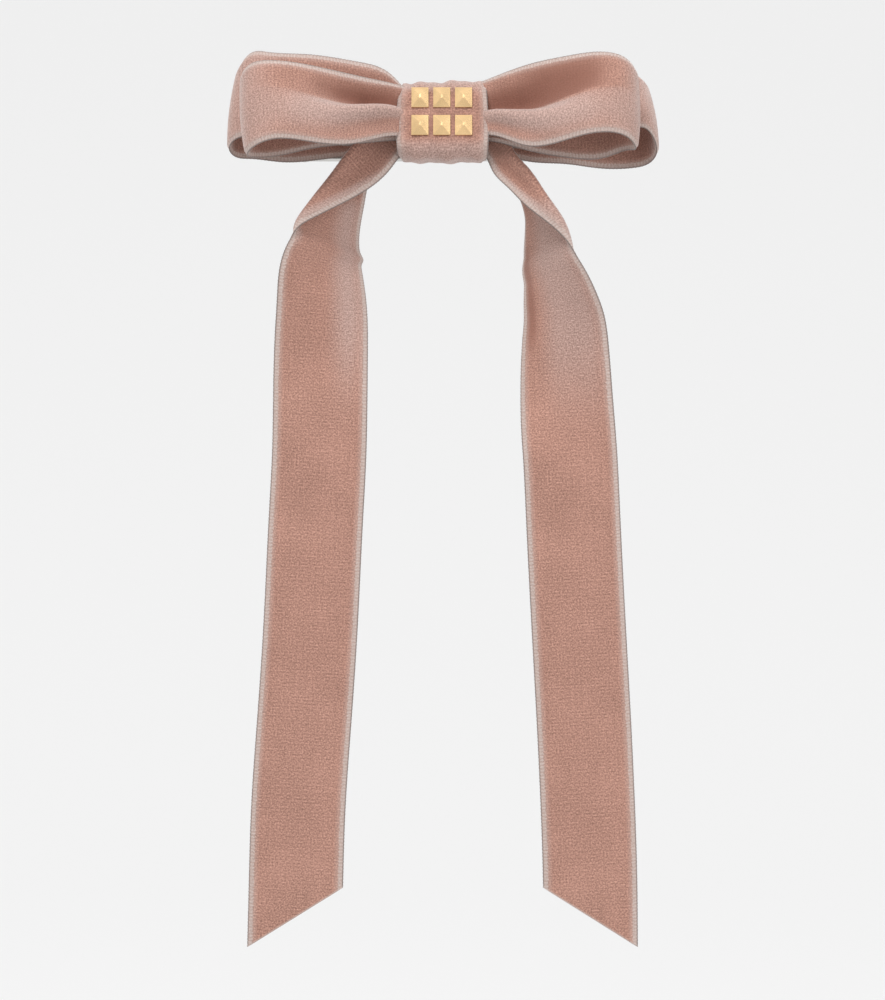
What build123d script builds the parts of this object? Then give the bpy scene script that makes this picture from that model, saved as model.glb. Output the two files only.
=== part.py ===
from build123d import *
import math
import os

# A French barrette with a two-layer velvet bow, in millimetres.
# +X is the wearer-facing right of the bow, +Y runs back into the hair and +Z is up.
# The origin lies in the gap where the clip grips the hair, behind the middle of the knot.
# The bow and its clip are drawn upright and then leaned back, as they lie on the head.
# Only the tails hang plumb.

# ribbon
ribbon_width = 25.0
ribbon_thickness = 1.2
front_bow_roll = -1.2
rear_bow_roll = 1.6
bow_lean = 14.0
bow_drop = 3.2
tail_cut_high = -199.0
tail_cut_low = -216.0

# how the layers stack in depth at the knot
front_bow_y = (-20.6, -16.8)
tail_layer_y = (-16.6, -15.0)
rear_bow_y = (-14.6, -10.6)

# knot
knot_width = 24.0
knot_top = 11.8
knot_bottom_front = -9.6
knot_bottom_back = -6.2
knot_front_y = -22.7
knot_back_y = -6.0
knot_wall = 1.3
knot_corner = 3.6
thread_diameter = 0.4
thread_x = (-3.6, -3.1, -2.6)
thread_clearance = 0.1
stitch_size = (1.8, 0.3)
stitch_count = 6
stitch_spacing = 3.4
stitch_z = 2.0

# ornament studs, three across and two down
stud_size = (4.5, 5.6)
stud_height = 1.5
stud_rim = 0.5
stud_pitch = (5.75, 7.8)
stud_centre = (-0.2, 2.2)
stud_tip = (0.5, 1.0)
prong_size = (0.9, 0.3)
prong_clinch = 1.2
prong_offset = 1.4

# felt pad
felt_half_length = 16.0
felt_thickness = 1.0
felt_width = 8.0
felt_gap = 0.1

# base plate of the clip
plate_apex_y = -8.0
plate_radius = 123.3
plate_thickness = 0.8
plate_width = 9.0
plate_half_length = 39.5

# hinge
pin_x = -37.5
pin_y = 2.6
pin_radius = 0.7
pin_head = (1.15, 0.4)
ear_radius = 2.0
ear_thickness = 0.8
running_clearance = 0.1

# locking arm
arm_width = 6.8
arm_sheet = 0.6
arm_inner_y = 4.9
arm_outer_y = 7.0
arm_tip_x = 41.5
arm_heel_x = -39.2
lobe_radius = 1.4
window_x = (35.0, 38.9)
window_half_height = 2.2

# tension bar
bar_width = 5.0
bar_thickness = 0.5
bar_eye_radius = 1.35

# catch
catch_x = (36.0, 38.2)
catch_sheet = 0.5
catch_strip_x = (27.0, 38.6)
catch_strip_width = 5.4
prong_root_y = -1.3
prong_tip_y = 9.6
prong_outer_z = 2.0
barb_reach = 0.8
rivet_x = 31.0
rivet_radius = 1.1
rivet_head = (1.7, 0.5)

# tails
tail_pivot_z = -13.5
leg_y = (-16.5, -15.1)
pivot_gap = 1.0

overrun = 60.0


# The clip leans back about the origin. The bow sits a little low on it and leans with it.
on_clip = Rot(-bow_lean, 0, 0)
on_bow = on_clip * Pos(0, 0, -bow_drop)
plumb = Pos(0, 0, 0)


def save(name, place, *solids):
    """Write one piece, or one group of like pieces, as its own STEP file."""
    placed = [place * solid for solid in solids]
    shape = placed[0] if len(placed) == 1 else Compound(children=placed)
    shape.label = name
    export_step(shape, f"parts/{name}.step")


def prism_along_y(outline, y_from, y_to):
    """A straight-sided solid whose outline lies in the XZ plane."""
    face = make_face(Polyline(*[(x, 0, z) for x, z in outline], close=True))
    return Pos(0, y_from, 0) * extrude(face, amount=y_to - y_from, dir=(0, 1, 0))


def prism_along_z(face, z_from, z_to):
    """A straight-sided solid raised from a face that lies in the XY plane."""
    return Pos(0, 0, z_from) * extrude(face, amount=z_to - z_from, dir=(0, 0, 1))


def arc_strip(x_from, x_to, offset, thickness, width):
    """A strip that follows the arch of the base plate, offset towards the hair."""
    centre_y = plate_apex_y + plate_radius
    inner = plate_radius - offset - thickness
    outer = plate_radius - offset
    band = Pos(0, centre_y) * (Circle(outer) - Circle(inner))
    window = Pos((x_from + x_to) / 2, plate_apex_y) * Rectangle(x_to - x_from, 2 * overrun / 3)
    return prism_along_z(band & window, -width / 2, width / 2)


def inset(points, distance):
    """The points of a closed outline, each moved inward square to its neighbours."""
    moved = []
    for i, point in enumerate(points):
        before = Vector(*points[i - 1])
        after = Vector(*points[(i + 1) % len(points)])
        inward = (after - before).normalized().rotate(Axis.Z, 90)
        moved.append(tuple(Vector(*point) + inward * distance)[:2])
    return moved


def loop_ring(side, plan):
    """One ribbon loop before its edges are trimmed: a tall ring with a teardrop plan."""
    outer = make_face(Spline(*plan, periodic=True))
    inner = make_face(Spline(*inset(plan, ribbon_thickness), periodic=True))
    ring = prism_along_z(outer, -overrun, overrun) - prism_along_z(inner, -overrun, overrun)
    return ring if side > 0 else mirror(ring, about=Plane.YZ)


def bow_ribbon(plan, layer_y, outline, middle_z):
    """Two loops and the gathered middle that joins them, as one ribbon."""
    low, high = middle_z
    middle = Box(2 * plan[0][0] + 4, layer_y[1] - layer_y[0], high - low)
    bow = Pos(0, sum(layer_y) / 2, (low + high) / 2) * middle
    for side in (-1, 1):
        edges = prism_along_y([(side * x, z) for x, z in outline], -overrun, overrun)
        bow += loop_ring(side, plan) & edges
    return bow


def front_bow_ribbon():
    """The smaller, front layer of loops."""
    plan = [(9.5, -18.7), (20, -25.4), (36, -32.8), (49, -31.2), (52.5, -25.5)]
    plan += [(49.5, -19.6), (36, -17.1), (20, -17.0)]
    outline = [(6, 8.0), (12.2, 8.4), (15, 10.4), (31, 13.8), (45, 15.0), (54, 14)]
    outline += [(54, -9.6), (45, -9.2), (31, -7.6), (12, -4.6), (6, -4.0)]
    bow = bow_ribbon(plan, front_bow_y, outline, (-4.0, 7.6))
    return Rot(0, front_bow_roll, 0) * bow


def rear_bow_ribbon():
    """The larger, rear layer of loops, tilted a little against the front one."""
    plan = [(9.5, -12.6), (20, -14.5), (36, -14.8), (50, -14.2), (56.0, -8.6)]
    plan += [(52, -2.4), (44, -2.0), (33, -6.4), (20, -9.6)]
    outline = [(6, 8), (12.2, 8.6), (15, 13), (26, 18), (44, 20.6), (58, 19.6)]
    outline += [(58, -5.6), (44, -5.8), (26, -6.2), (13, -5.6), (12, -4.9), (6, -4.8)]
    bow = bow_ribbon(plan, rear_bow_y, outline, (-4.8, 8.0))
    return Rot(0, rear_bow_roll, 0) * bow


def leg_end_z():
    """Height, on the upright bow, at which the legs stop just above the tail pivots."""
    angle = math.radians(bow_lean)
    height = tail_pivot_z + pivot_gap + sum(leg_y) / 2 * math.sin(angle)
    return height / math.cos(angle) + bow_drop


def tail_ribbon_middle():
    """The part of the tail ribbon held in the knot, with the short legs that leave it."""
    middle_low = -5.9
    middle_high = 2.0
    middle = Box(18, tail_layer_y[1] - tail_layer_y[0], middle_high - middle_low)
    solid = Pos(0, sum(tail_layer_y) / 2, (middle_low + middle_high) / 2) * middle
    leg_end = leg_end_z()
    left = [(-8, 1.5), (-12.2, -1.2), (-24, -7.4), (-29, leg_end)]
    left += [(-15.5, leg_end), (-12.5, -7.6), (-12.2, -6.3), (-8, -5.9)]
    right = [(8, 1.5), (12.2, -1.2), (20.5, -6.8), (25, leg_end)]
    right += [(14.8, leg_end), (12.5, -7.6), (12.2, -6.3), (8, -5.9)]
    for outline in (left, right):
        solid += prism_along_y(outline, *leg_y)
    return solid


def tail(outline):
    """One hanging tail: a flat plumb strip below the legs, which ends in a slanted cut."""
    middle_y = (on_bow * Pos(0, sum(leg_y) / 2, leg_end_z())).position.Y
    half = (leg_y[1] - leg_y[0]) / 2
    return prism_along_y(outline, middle_y - half, middle_y + half)


def left_tail():
    """The left tail, which widens below its half twist."""
    inner = [(-15.8, tail_pivot_z), (-21.5, -22), (-21.6, -34), (-19.9, -60), (-20.8, -98)]
    outer = [(-52, tail_cut_low), (-49.5, -158), (-45.3, -98), (-43.8, -53), (-41, -32)]
    return tail(inner + [(-26.3, tail_cut_high)] + outer + [(-29.4, tail_pivot_z)])


def right_tail():
    """The right tail, which widens below its half twist."""
    inner = [(15, tail_pivot_z), (22.6, -22), (21.4, -34), (20.6, -60), (20.9, -98)]
    outer = [(51.5, tail_cut_low), (49.2, -158), (46, -98), (43.5, -56), (36, -35)]
    return tail(inner + [(26.3, tail_cut_high)] + outer + [(26, tail_pivot_z)])


def knot_section(depth):
    """The knot's outer shape in the YZ plane, pulled in by a depth. Its underside rises to the back."""
    corners = [(0, knot_front_y, knot_top), (0, knot_back_y, knot_top)]
    corners += [(0, knot_back_y, knot_bottom_back), (0, knot_front_y, knot_bottom_front)]
    face = make_face(Polyline(*corners, close=True))
    if depth > 0:
        face = offset(face, amount=-depth, kind=Kind.INTERSECTION)
    return fillet(face.vertices(), max(knot_corner - depth, 0.5))


def knot_ribbon():
    """The ribbon wrapped once round the gathers and the base plate."""
    ring = knot_section(0) - knot_section(knot_wall)
    solid = extrude(ring, amount=knot_width / 2, both=True)
    for x, z in stud_places():
        for prong in stud_prongs(x, z):
            solid -= prong
    return solid


def knot_seam_stitches():
    """Short stitches that close the lap of the knot ribbon, behind the base plate."""
    length, height = stitch_size
    stitch = Box(length, height, thread_diameter)
    places = [(i - (stitch_count - 1) / 2) * stitch_spacing for i in range(stitch_count)]
    return [Pos(x, knot_back_y + height / 2 + 0.01, stitch_z) * stitch for x in places]


def gather_thread():
    """Three turns of thread that draw the ribbons together inside the knot."""
    outside = knot_wall + thread_clearance
    turn = knot_section(outside) - knot_section(outside + thread_diameter)
    band = extrude(turn, amount=thread_diameter / 2, both=True)
    return [Pos(x, 0, 0) * band for x in thread_x]


def felt_pad():
    """The felt strip between the rear bow and the base plate."""
    back = plate_thickness + felt_gap + felt_thickness
    return arc_strip(-felt_half_length, felt_half_length, -back, felt_thickness, felt_width)


def stud_places():
    """Centres of the six ornament studs on the front of the knot."""
    return [
        (stud_centre[0] + column * stud_pitch[0], stud_centre[1] + row * stud_pitch[1] / 2)
        for row in (1, -1)
        for column in (-1, 0, 1)
    ]


def stud_prongs(x, z):
    """The two flat legs of one stud, which pass through the knot ribbon."""
    leg_length = knot_wall + 0.3
    leg = Box(prong_size[0], leg_length, prong_size[1])
    y = knot_front_y + leg_length / 2
    return [Pos(x, y, z + side * prong_offset) * leg for side in (-1, 1)]


def stud(x, z):
    """One hollow-ground gold stud: a low rim, a four-sided point and clinched legs."""
    front = Plane(origin=(x, knot_front_y, z), x_dir=(1, 0, 0), z_dir=(0, -1, 0))
    rim = extrude(front * Rectangle(*stud_size), amount=stud_rim)
    crest = Plane(origin=(x, knot_front_y - stud_rim, z), x_dir=(1, 0, 0), z_dir=(0, -1, 0))
    tip = crest.offset(stud_height - stud_rim) * Rectangle(*stud_tip)
    solid = rim + loft([crest * Rectangle(*stud_size), tip])
    for leg in stud_prongs(x, z):
        solid += leg
    clinch = Box(prong_size[0], prong_size[1], prong_clinch)
    for side in (-1, 1):
        y = knot_front_y + knot_wall + prong_size[1] / 2
        reach = prong_offset - prong_clinch / 2 + prong_size[1] / 2
        solid += Pos(x, y, z + side * reach) * clinch
    return solid


def hinge_ear(side):
    """One upright ear of the base plate, with the pin hole still to be cut."""
    foot_y = plate_apex_y + plate_radius - math.sqrt(plate_radius**2 - pin_x**2)
    height = pin_y - foot_y
    upright = Pos(pin_x, foot_y + height / 2 - 0.2) * Rectangle(2 * ear_radius, height + 0.4)
    face = upright + Pos(pin_x, pin_y) * Circle(ear_radius)
    outer = side * plate_width / 2
    inner = outer - side * ear_thickness
    return prism_along_z(face, min(inner, outer), max(inner, outer))


def base_plate():
    """The arched plate with its two hinge ears and the hole for the catch rivet."""
    solid = arc_strip(
        -plate_half_length, plate_half_length, -plate_thickness, plate_thickness, plate_width
    )
    for side in (-1, 1):
        solid += hinge_ear(side)
    hole = Pos(pin_x, pin_y, 0) * Cylinder(pin_radius, 2 * plate_width)
    return solid - hole - rivet_shank(rivet_radius)


def hinge_pin():
    """The pin through both ears, headed at each end."""
    reach = plate_width / 2
    solid = Cylinder(pin_radius, 2 * reach)
    for side in (-1, 1):
        solid += Pos(0, 0, side * (reach + pin_head[1] / 2)) * Cylinder(*pin_head)
    return Pos(pin_x, pin_y, 0) * solid


def rivet_shank(radius):
    """The catch rivet's shank, square to the plate where it sits."""
    angle = math.degrees(math.asin(rivet_x / plate_radius))
    y = plate_apex_y + plate_radius - math.sqrt(plate_radius**2 - rivet_x**2)
    shank = Rot(90, 0, 0) * Cylinder(radius, 1.3)
    return Pos(rivet_x, y - 0.15, 0) * Rot(0, 0, angle) * shank


def catch_rivet():
    """The rivet that holds the catch strip on the base plate."""
    angle = math.degrees(math.asin(rivet_x / plate_radius))
    y = plate_apex_y + plate_radius - math.sqrt(plate_radius**2 - rivet_x**2)
    head = Rot(90, 0, 0) * Cylinder(*rivet_head)
    place = Pos(rivet_x, y - 0.15, 0) * Rot(0, 0, angle)
    return rivet_shank(rivet_radius) + place * Pos(0, 0.9, 0) * head


def catch_strip():
    """The flat root of the catch spring, riveted inside the end of the base plate."""
    strip = arc_strip(*catch_strip_x, 0.0, catch_sheet, catch_strip_width)
    return strip - rivet_shank(rivet_radius)


def catch_prong(side):
    """One springy prong of the catch: a leaf, an outward barb and a tapered tip."""
    barb_y = arm_outer_y + running_clearance
    outer = prong_outer_z
    inner = outer - catch_sheet
    outline = [(prong_root_y, inner), (prong_root_y, outer), (barb_y, outer)]
    outline += [(barb_y, outer + barb_reach), (barb_y + 0.4, outer + barb_reach)]
    outline += [(prong_tip_y, outer - 0.5), (prong_tip_y, inner - 0.5), (barb_y + 0.5, inner)]
    points = [(catch_x[0], y, side * z) for y, z in outline]
    face = make_face(Polyline(*points, close=True))
    return extrude(face, amount=catch_x[1] - catch_x[0], dir=(1, 0, 0))


def locking_arm():
    """The straight channel that closes over the hair, with its catch window."""
    length = arm_tip_x - arm_heel_x
    middle_x = (arm_tip_x + arm_heel_x) / 2
    depth = arm_outer_y - arm_inner_y
    bar = Pos(middle_x, (arm_inner_y + arm_outer_y) / 2) * Rectangle(length, depth)
    lobe = Pos(pin_x, pin_y) * Circle(lobe_radius)
    neck_top = arm_inner_y + 0.2
    neck = Pos(pin_x, (pin_y + neck_top) / 2) * Rectangle(2 * lobe_radius, neck_top - pin_y)
    solid = prism_along_z(bar + lobe + neck, -arm_width / 2, arm_width / 2)
    hollow = Box(2 * overrun, 2 * overrun, arm_width - 2 * arm_sheet)
    solid -= Pos(0, arm_outer_y - arm_sheet - overrun, 0) * hollow
    relief = Box(overrun, 2 * overrun, arm_width + 1)
    solid -= Pos(window_x[0] - 1.5 + overrun / 2, arm_outer_y - arm_sheet - overrun, 0) * relief
    window = Box(window_x[1] - window_x[0], 3 * arm_sheet, 2 * window_half_height)
    solid -= Pos(sum(window_x) / 2, arm_outer_y - arm_sheet / 2, 0) * window
    return solid - Pos(pin_x, pin_y, 0) * Cylinder(pin_radius + running_clearance, 20)


def tension_bar():
    """The thin spring strip, with a rolled eye on the pin, that presses the hair."""
    middle = [(pin_x, pin_y - 1.1), (-34.5, 0.6), (-30, -1.3), (-20, -1.6)]
    middle += [(0, -1.4), (20, -1.6), (31, -2.3)]
    leaf = trace(Spline(*middle), bar_thickness)
    eye = Pos(pin_x, pin_y) * Circle(bar_eye_radius)
    solid = prism_along_z(leaf + eye, -bar_width / 2, bar_width / 2)
    return solid - Pos(pin_x, pin_y, 0) * Cylinder(pin_radius + running_clearance, 20)


def main():
    """Build every piece and write it out."""
    os.makedirs("parts", exist_ok=True)
    save("front_bow_ribbon", on_bow, front_bow_ribbon())
    save("rear_bow_ribbon", on_bow, rear_bow_ribbon())
    save("tail_ribbon_middle", on_bow, tail_ribbon_middle())
    save("left_tail", plumb, left_tail())
    save("right_tail", plumb, right_tail())
    save("knot_ribbon", on_bow, knot_ribbon())
    save("knot_seam_stitches", on_bow, *knot_seam_stitches())
    save("gather_thread", on_bow, *gather_thread())
    save("felt_pad", on_clip, felt_pad())
    save("base_plate", on_clip, base_plate())
    save("hinge_pin", on_clip, hinge_pin())
    save("catch_strip", on_clip, catch_strip())
    save("catch_rivet", on_clip, catch_rivet())
    save("catch_prong_upper", on_clip, catch_prong(1))
    save("catch_prong_lower", on_clip, catch_prong(-1))
    save("locking_arm", on_clip, locking_arm())
    save("tension_bar", on_clip, tension_bar())
    names = ["upper_left", "upper_middle", "upper_right", "lower_left", "lower_middle", "lower_right"]
    for name, (x, z) in zip(names, stud_places()):
        save(f"stud_{name}", on_bow, stud(x, z))


main()
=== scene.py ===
import math

import bpy
import numpy as np
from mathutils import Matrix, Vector


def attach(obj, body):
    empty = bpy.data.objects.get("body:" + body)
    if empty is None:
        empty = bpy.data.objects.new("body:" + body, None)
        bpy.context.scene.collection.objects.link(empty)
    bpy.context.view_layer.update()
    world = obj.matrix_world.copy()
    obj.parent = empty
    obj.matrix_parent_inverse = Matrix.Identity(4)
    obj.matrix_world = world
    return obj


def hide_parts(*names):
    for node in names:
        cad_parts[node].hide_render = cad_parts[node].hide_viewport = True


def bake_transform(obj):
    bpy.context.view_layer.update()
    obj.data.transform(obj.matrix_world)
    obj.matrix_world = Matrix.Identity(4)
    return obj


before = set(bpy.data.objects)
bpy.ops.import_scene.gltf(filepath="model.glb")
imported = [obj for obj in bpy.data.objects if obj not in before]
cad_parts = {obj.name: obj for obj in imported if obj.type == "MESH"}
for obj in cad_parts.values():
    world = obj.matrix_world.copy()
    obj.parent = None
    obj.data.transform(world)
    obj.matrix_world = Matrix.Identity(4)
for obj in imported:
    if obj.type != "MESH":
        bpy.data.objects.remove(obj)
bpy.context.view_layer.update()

bl_info = {
    "name": "Velvet Bow Hair Clip",
    "version": (1, 0, 0),
    "blender": (4, 5, 0),
    "location": "3D View > Sidebar > Velvet Bow",
    "description": "A double bow of velvet ribbon with hanging tails on a sprung hair clip",
    "category": "Add Mesh",
}

# Lengths in the shape functions are millimetres in the frame's axes: x to the right, y to the back, z up.
MM = 0.001
WAIST_LEAN = math.radians(14)
WAIST_DROP = 3.2
RIBBON_HALF = 12.5
SELVEDGE = 11.0
PILE_HALF = 0.6
WEFT_PITCH = 0.9
PLATE_RADIUS = 123.3
NO_CUT = 99.0
FINE_STEPS = 4000


# ---------------------------------------------------------------- lines and surfaces

def smooth(knots, values, at):
    """Cubic spline: between two knots it is the cubic whose slope and bend agree with its neighbours'.
    The bends at the knots solve one set of linear equations, with none at either end."""
    x = np.asarray(knots, float)
    y = np.asarray(values, float).reshape(len(x), -1)
    at = np.asarray(at, float)
    gap = np.diff(x)
    rise = np.diff(y, axis=0) / gap[:, None]
    inner = np.arange(1, len(x) - 1)
    system = np.eye(len(x))
    system[inner, inner - 1] = gap[:-1]
    system[inner, inner] = 2 * (gap[:-1] + gap[1:])
    system[inner, inner + 1] = gap[1:]
    known = np.zeros_like(y)
    known[inner] = 6 * np.diff(rise, axis=0)
    bend = np.linalg.solve(system, known)
    cell = np.clip(np.searchsorted(x, at.ravel(), side="right") - 1, 0, len(x) - 2)
    width = gap[cell][:, None]
    a = (x[cell + 1] - at.ravel())[:, None] / width
    b = 1 - a
    out = a * y[cell] + b * y[cell + 1]
    out += ((a ** 3 - a) * bend[cell] + (b ** 3 - b) * bend[cell + 1]) * width ** 2 / 6
    shape = at.shape + (y.shape[1],) if np.ndim(values) > 1 else at.shape
    return out.reshape(shape)


def ease(x, low, high):
    """Rises from 0 at low to 1 at high along 3t^2 - 2t^3."""
    t = np.clip((np.asarray(x, float) - low) / (high - low), 0, 1)
    return t * t * (3 - 2 * t)


def patch(x, low, high, soft):
    """1 between low and high, 0 outside, with edges of the given softness."""
    return ease(x, low - soft, low + soft) - ease(x, high - soft, high + soft)


def chord(points):
    """Length run so far at each point, along straight lines between them."""
    steps = np.linalg.norm(np.diff(points, axis=0), axis=1)
    return np.concatenate([[0], np.cumsum(steps)])


def even_rows(stations, measured, pitch):
    """Stations joined by a spline and read again at even lengths; the first `measured` columns are the
    place, and the rest are carried along. Returns the rows and the length run so far at each."""
    stations = np.asarray(stations, float)
    run = chord(stations[:, :measured])
    places = np.linspace(0, run[-1], FINE_STEPS)
    fine = smooth(run, stations, places)
    length = chord(fine[:, :measured])
    count = max(8, int(round(length[-1] / pitch)))
    wanted = np.linspace(0, length[-1], count + 1)
    return smooth(run, stations, np.interp(wanted, length, places)), wanted


def round_loop(stations):
    """The same closed round with three more stations before and after, so that its seam is smooth."""
    ring = np.asarray(stations, float)
    return np.concatenate([ring[-3:], ring, ring[:4]])


def closed_rows(stations, measured, pitch):
    """A closed round of stations read at even lengths. Returns the rows, without a doubled last one,
    and the lengths, with the whole length as the last."""
    ring = np.asarray(stations, float)
    padded = round_loop(ring)
    run = chord(padded[:, :measured])
    start, stop = run[3], run[3 + len(ring)]
    places = np.linspace(start, stop, FINE_STEPS)
    fine = smooth(run, padded, places)
    length = chord(fine[:, :measured])
    count = int(round(length[-1] / pitch))
    wanted = np.linspace(0, length[-1], count + 1)
    rows = smooth(run, padded, np.interp(wanted, length, places))
    return rows[:-1], wanted


def ribbon_section(step):
    """Places across the ribbon and half its thickness there: full pile, then a thin woven edge."""
    pile = np.linspace(-SELVEDGE, SELVEDGE, int(round(2 * SELVEDGE / step)) + 1)
    rim = np.array([11.35, 11.7, 12.2, RIBBON_HALF])
    across = np.concatenate([-rim[::-1], pile, rim])
    half = np.interp(np.abs(across), [0, SELVEDGE, 11.35, 11.7, 12.2, RIBBON_HALF],
                     [PILE_HALF, PILE_HALF, 0.42, 0.25, 0.2, 0.0])
    return across, half


def unit(vectors):
    """Vectors of length one, the same way."""
    return vectors / np.maximum(np.linalg.norm(vectors, axis=-1, keepdims=True), 1e-9)


def leaned(points):
    """Bow places, turned back about x by the waist's lean after a small drop."""
    out = np.array(points, float)
    sine, cosine = math.sin(WAIST_LEAN), math.cos(WAIST_LEAN)
    y, z = np.asarray(points)[..., 1], np.asarray(points)[..., 2] - WAIST_DROP
    out[..., 1] = y * cosine + z * sine
    out[..., 2] = z * cosine - y * sine
    return out


def ribbon_skin(name, middle, across, half, along, looped, crush_and_painted_light, sealed=None):
    """Closed skin of a ribbon. Each point of its middle surface is moved half the thickness there along
    the surface's normal for the front, and the other way for the back, and both meet at the selvedges,
    whose outermost points go in and out by 0.05 mm with the weft.
    The map's first axis is the place across and its second the length along, in ribbon widths."""
    count, cols = middle.shape[:2]
    if looped:
        run = np.roll(middle, -1, 0) - np.roll(middle, 1, 0)
    else:
        run = np.gradient(middle, axis=0)
    span = np.gradient(middle, axis=1)
    tooth = 0.05 * np.sin(2 * np.pi * along[:count, [0, -1]] / WEFT_PITCH)
    middle = middle.copy()
    middle[:, 0] -= unit(span[:, 0]) * tooth[:, :1]
    middle[:, -1] += unit(span[:, -1]) * tooth[:, 1:]
    normal = unit(np.cross(run, span))
    front = middle + normal * half[None, :, None]
    back = middle - normal * half[None, :, None]
    ring = np.concatenate([front, back[:, -2:0:-1]], axis=1)
    round_count = ring.shape[1]
    order = np.concatenate([np.arange(cols), np.arange(cols - 2, 0, -1)])
    row = np.arange(count if looped else count - 1)
    r, k = np.meshgrid(row, np.arange(round_count), indexing="ij")
    r, k = r.ravel(), k.ravel()
    after_r, after_k = (r + 1) % count, (k + 1) % round_count
    quads = np.stack([r * round_count + k, after_r * round_count + k,
                      after_r * round_count + after_k, r * round_count + after_k], axis=1)
    u = across[order] / (2 * RIBBON_HALF) + 0.5
    v = along[:, order] / (2 * RIBBON_HALF)
    maps = np.stack([np.stack([u[k], u[k], u[after_k], u[after_k]], 1),
                     np.stack([v[r, k], v[r + 1, k], v[r + 1, after_k], v[r, after_k]], 1)], 2)
    faces = quads.tolist()
    places = [maps.reshape(-1, 2)]
    if not looped:
        for end in (0, count - 1):
            caps, spots = end_cap(end, cols, round_count, end > 0)
            faces += caps
            places.append(np.stack([u[spots], v[end, spots]], 1))
    mesh = bpy.data.meshes.new(name)
    mesh.from_pydata((ring.reshape(-1, 3) * MM).tolist(), [], faces)
    layer = mesh.uv_layers.new(name="UVMap")
    layer.data.foreach_set("uv", np.concatenate(places).astype(np.float32).ravel())
    distance = np.full((count, cols), NO_CUT) if sealed is None else sealed
    # The second attribute is painted light from the shape functions: painted highlight and sheen above zero,
    # painted shade below zero.
    for key, values in (("from_cut", distance), ("crush_and_painted_light", crush_and_painted_light)):
        marks = mesh.attributes.new(key, "FLOAT", "POINT")
        marks.data.foreach_set("value", values[:, order].astype(np.float32).ravel())
    return piece_of(name, mesh)


def end_cap(end, cols, round_count, last):
    """Faces that close a strip's end, between its front and back edges, and their corners in the ring."""
    faces, spots = [], []
    for c in range(cols - 1):
        under = (round_count - c) % round_count
        under_next = cols - 1 if c + 1 == cols - 1 else round_count - c - 1
        corners = [c, under, under_next, c + 1]
        corners = list(dict.fromkeys(corners))
        if not last:
            corners.reverse()
        faces.append([end * round_count + i for i in corners])
        spots += corners
    return faces, spots


def piece_of(name, mesh):
    """A mesh as an object at the origin, shaded smooth."""
    mesh.validate()
    mesh.polygons.foreach_set("use_smooth", np.ones(len(mesh.polygons), bool))
    mesh.update()
    piece = bpy.data.objects.new(name, mesh)
    bpy.context.scene.collection.objects.link(piece)
    return piece


# ---------------------------------------------------------------- shader sums

class Wire:
    """A shader socket in a Python sum: each operator adds one Math node."""

    def __init__(self, board, socket):
        self.board = board
        self.socket = socket

    def __add__(self, other):
        return self.board.maths("ADD", self, other)

    __radd__ = __add__

    def __mul__(self, other):
        return self.board.maths("MULTIPLY", self, other)

    __rmul__ = __mul__

    def __sub__(self, other):
        return self.board.maths("SUBTRACT", self, other)

    def __rsub__(self, other):
        return self.board.maths("SUBTRACT", other, self)

    def __truediv__(self, other):
        return self.board.maths("DIVIDE", self, other)

    def __abs__(self):
        return self.board.maths("ABSOLUTE", self)


class Board:
    """One material, or a world, and the one way in which nodes are put into it."""

    def __init__(self, name, owner=None):
        self.material = owner or bpy.data.materials.new(name)
        self.material.use_nodes = True
        self.tree = self.material.node_tree
        self.tree.nodes.clear()

    def add(self, kind, settings=None, inputs=None, stops=None):
        """A node of that type: settings first, then a ramp's stops, then its sockets' values or links."""
        node = self.tree.nodes.new(kind)
        for key, value in (settings or {}).items():
            setattr(node, key, value)
        for index, (place, colour) in enumerate(stops or ()):
            elements = node.color_ramp.elements
            element = elements[index] if index < len(elements) else elements.new(place)
            element.position = place
            element.color = (*colour, 1)
        for key, value in (inputs or {}).items():
            if isinstance(value, Wire):
                self.tree.links.new(value.socket, node.inputs[key])
            else:
                node.inputs[key].default_value = value
        return node

    def wire(self, kind, settings=None, inputs=None, output=0, stops=None):
        """The same, as a socket to reckon with."""
        return Wire(self, self.add(kind, settings, inputs, stops).outputs[output])

    def maths(self, operation, *values):
        return self.wire("ShaderNodeMath", {"operation": operation}, dict(enumerate(values)))

    def rise(self, value, low, high):
        """0 below low, 1 above high, and a smooth step between."""
        return self.wire("ShaderNodeMapRange", {"interpolation_type": "SMOOTHSTEP"},
                         {"Value": value, "From Min": low, "From Max": high})

    def blend(self, share, first, second, kind="MIX"):
        """Colour between first and second."""
        return self.wire("ShaderNodeMix", {"data_type": "RGBA", "blend_type": kind},
                         {0: share, 6: paint(first), 7: paint(second)}, 2)

    def noise(self, vector, scale, detail=2.0, roughness=0.5):
        return self.wire("ShaderNodeTexNoise", {"noise_dimensions": "3D"},
                         {"Vector": vector, "Scale": scale, "Detail": detail, "Roughness": roughness})

    def spot(self, x, y, z=0.0):
        return self.wire("ShaderNodeCombineXYZ", None, {0: x, 1: y, 2: z})

    def bump(self, height, distance, strength=1.0, normal=None):
        inputs = {"Height": height, "Distance": distance, "Strength": strength}
        if normal is not None:
            inputs["Normal"] = normal
        return self.wire("ShaderNodeBump", None, inputs)

    def finish(self, **inputs):
        """Ends the tree in a Principled shader with these sockets, underscores standing for spaces."""
        sockets = {key.replace("_", " "): value for key, value in inputs.items()}
        shader = self.add("ShaderNodeBsdfPrincipled", None, sockets)
        self.add("ShaderNodeOutputMaterial", None, {0: Wire(self, shader.outputs[0])})
        return self.material


def paint(colour):
    """A colour for a socket: links stay as they are, and three numbers get an alpha."""
    return colour if isinstance(colour, Wire) else (*colour[:3], 1)


def tint(red, green, blue):
    """A display colour from 0 to 255 as linear numbers."""
    share = np.array([red, green, blue]) / 255
    linear = np.where(share <= 0.04045, share / 12.92, ((share + 0.055) / 1.055) ** 2.4)
    return tuple(float(c) for c in linear)


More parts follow.
